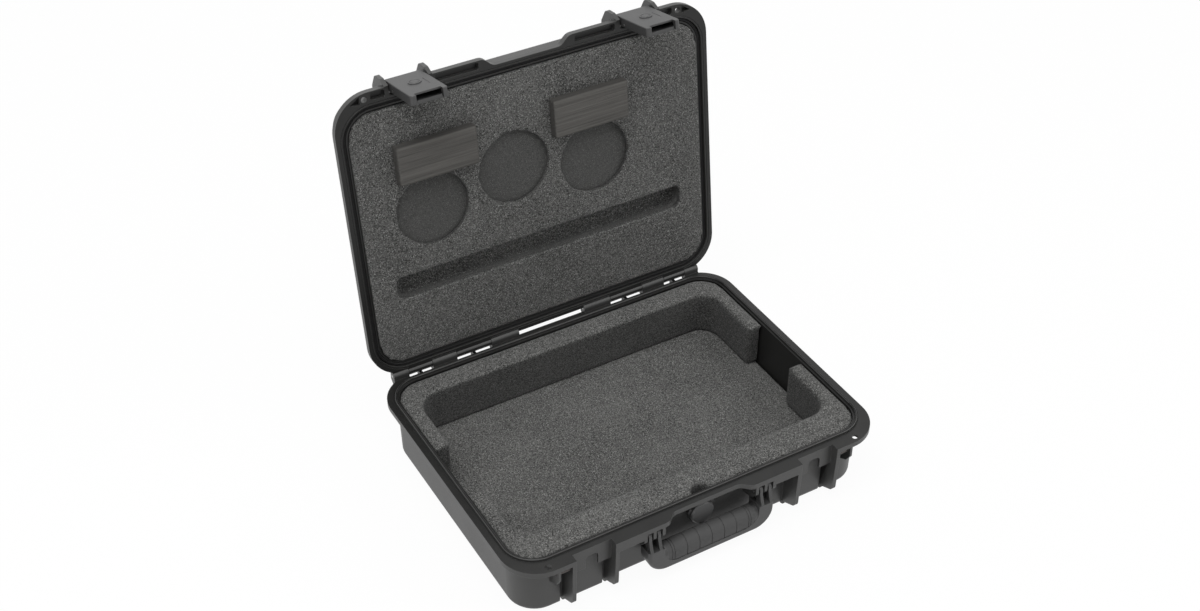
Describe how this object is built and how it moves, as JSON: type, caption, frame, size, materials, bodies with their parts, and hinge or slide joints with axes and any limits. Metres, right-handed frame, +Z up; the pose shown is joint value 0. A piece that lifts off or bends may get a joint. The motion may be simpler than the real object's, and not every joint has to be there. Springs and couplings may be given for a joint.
{
  "type": "hard case",
  "caption": "Open protective hard case with hinged lid, draw latches with lift triggers, folding front handle, pressure valve and cut foam in both halves.",
  "frame": {"origin": "middle of the flat raised field of the underside", "axes": "+Z up, +X to the right along the hinge, +Y towards the hinge at the back"},
  "size_m": [0.4992, 0.4764, 0.487],
  "materials": {
    "case_plastic": "fine moulded texture",
    "latch_plastic": "satin",
    "grip_rubber": "matte",
    "gasket_rubber": "matte",
    "steel": "ground",
    "foam": "open cell foam",
    "block_foam": "cut foam",
    "membrane": "matte"
  },
  "bodies": {
    "base": {"base_shell": "case_plastic", "base_foam_front": "foam", "base_foam_back": "foam", "base_foam_floor": "foam", "hinge_pin_left": "steel", "hinge_pin_right": "steel", "handle_pin_left": "steel", "handle_pin_right": "steel", "strap_bar_left": "steel", "strap_bar_right": "steel", "valve_body": "latch_plastic", "valve_cap": "latch_plastic", "valve_oring": "gasket_rubber", "valve_nut": "latch_plastic", "valve_membrane": "membrane"},
    "lid": {"lid_shell": "case_plastic", "lid_gasket": "gasket_rubber", "lid_foam_facing": "foam", "lid_foam_backing": "foam", "lid_foam_block_left": "block_foam", "lid_foam_block_right": "block_foam", "latch_left_pin": "steel", "latch_right_pin": "steel"},
    "handle": {"handle_frame": "latch_plastic", "handle_grip": "grip_rubber"},
    "latch_left": {"latch_left_cover": "latch_plastic", "latch_left_trigger_pin": "steel", "latch_left_spring": "steel"},
    "trigger_left": {"latch_left_trigger": "latch_plastic"},
    "latch_right": {"latch_right_cover": "latch_plastic", "latch_right_trigger_pin": "steel", "latch_right_spring": "steel"},
    "trigger_right": {"latch_right_trigger": "latch_plastic"}
  },
  "joints": [
    {"name": "lid_hinge", "type": "hinge", "parent": "base", "child": "lid", "pos_m": [0, 0.1875, 0.0916], "axis": [1, 0, 0], "range_deg": [0, 97]},
    {"name": "handle_fold", "type": "hinge", "parent": "base", "child": "handle", "pos_m": [0, -0.189, 0.071], "axis": [-1, 0, 0], "range_deg": [-3, 90]},
    {"name": "latch_left_pivot", "type": "hinge", "parent": "lid", "child": "latch_left", "pos_m": [-0.1527, 0.24391, 0.46571], "axis": [-1, 0, 0], "range_deg": [-5, 95]},
    {"name": "trigger_left_pivot", "type": "hinge", "parent": "latch_left", "child": "trigger_left", "pos_m": [-0.1527, 0.22391, 0.46782], "axis": [-1, 0, 0], "range_deg": [0, 8], "stiffness_Nm_per_rad": 0.02, "springref_deg": -28.65},
    {"name": "latch_right_pivot", "type": "hinge", "parent": "lid", "child": "latch_right", "pos_m": [0.1527, 0.24391, 0.46571], "axis": [-1, 0, 0], "range_deg": [-5, 95]},
    {"name": "trigger_right_pivot", "type": "hinge", "parent": "latch_right", "child": "trigger_right", "pos_m": [0.1527, 0.22391, 0.46782], "axis": [-1, 0, 0], "range_deg": [0, 8], "stiffness_Nm_per_rad": 0.02, "springref_deg": -28.65}
  ]
}
